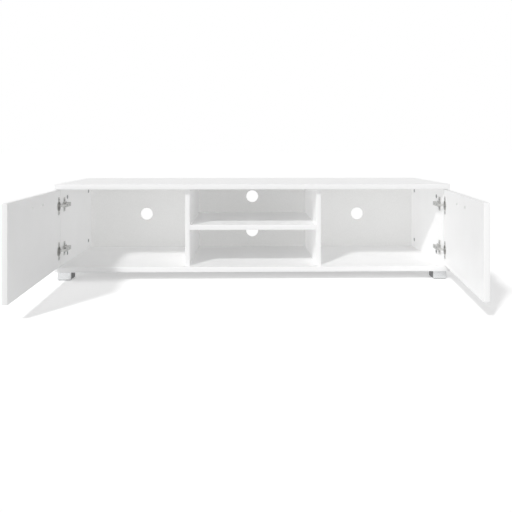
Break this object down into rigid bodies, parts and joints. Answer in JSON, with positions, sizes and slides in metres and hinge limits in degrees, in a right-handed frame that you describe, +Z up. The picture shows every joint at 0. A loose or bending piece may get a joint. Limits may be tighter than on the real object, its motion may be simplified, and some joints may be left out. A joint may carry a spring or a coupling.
{
  "type": "tv stand with doors",
  "caption": "Low white television stand: a hinged door bay at each end, open compartments and a shelf between them, cable holes in the back, block feet.",
  "frame": {"origin": "on the floor, under the middle of the part's box with the doors standing open", "axes": "+X to the right seen from the front, +Y from the front to the back, +Z up; the doors open towards -Y"},
  "size_m": [1.416, 0.8568, 0.34],
  "materials": {
    "board": "chipboard covered in white foil, satin to gloss",
    "back": "thin hardboard, printed white, satin",
    "foot": "satin silver",
    "glide": "matt",
    "hinge": "nickel-plated pressed steel",
    "fastener": "zinc-plated",
    "handle": "polished"
  },
  "bodies": {
    "carcass": {"top_panel": "board", "bottom_panel": "board", "side_panel_left": "board", "side_panel_right": "board", "divider_left": "board", "divider_right": "board", "centre_shelf": "board", "shelf_pin_front_left": "fastener", "shelf_pin_front_right": "fastener", "shelf_pin_rear_left": "fastener", "shelf_pin_rear_right": "fastener", "back_panel_left": "back", "back_panel_centre": "back", "back_panel_right": "back", "foot_front_left": "foot", "glide_front_left": "glide", "foot_screw_front_left": "fastener", "foot_front_right": "foot", "glide_front_right": "glide", "foot_screw_front_right": "fastener", "foot_rear_left": "foot", "glide_rear_left": "glide", "foot_screw_rear_left": "fastener", "foot_rear_right": "foot", "glide_rear_right": "glide", "foot_screw_rear_right": "fastener", "cam_lock_left_upper_front": "fastener", "cam_lock_left_upper_rear": "fastener", "cam_lock_left_lower_front": "fastener", "cam_lock_left_lower_rear": "fastener", "cam_lock_right_upper_front": "fastener", "cam_lock_right_upper_rear": "fastener", "cam_lock_right_lower_front": "fastener", "cam_lock_right_lower_rear": "fastener", "left_upper_hinge_plate": "hinge", "left_upper_hinge_arm": "hinge", "left_lower_hinge_plate": "hinge", "left_lower_hinge_arm": "hinge", "right_upper_hinge_plate": "hinge", "right_upper_hinge_arm": "hinge", "right_lower_hinge_plate": "hinge", "right_lower_hinge_arm": "hinge"},
    "left_door": {"left_door": "board", "left_door_handle": "handle", "left_upper_hinge_cup": "hinge", "left_upper_hinge_pin": "hinge", "left_lower_hinge_cup": "hinge", "left_lower_hinge_pin": "hinge", "left_handle_screw_hinge_end": "fastener", "left_handle_screw_free_end": "fastener"},
    "right_door": {"right_door": "board", "right_door_handle": "handle", "right_upper_hinge_cup": "hinge", "right_upper_hinge_pin": "hinge", "right_lower_hinge_cup": "hinge", "right_lower_hinge_pin": "hinge", "right_handle_screw_hinge_end": "fastener", "right_handle_screw_free_end": "fastener"}
  },
  "joints": [
    {"name": "left_door_hinge", "type": "hinge", "parent": "carcass", "child": "left_door", "pos_m": [-0.68352, 0.03536, 0.185], "axis": [0, 0, -1], "range_deg": [-87, 13]},
    {"name": "right_door_hinge", "type": "hinge", "parent": "carcass", "child": "right_door", "pos_m": [0.69948, 0.03536, 0.185], "axis": [0, 0, 1], "range_deg": [-82, 18]}
  ]
}
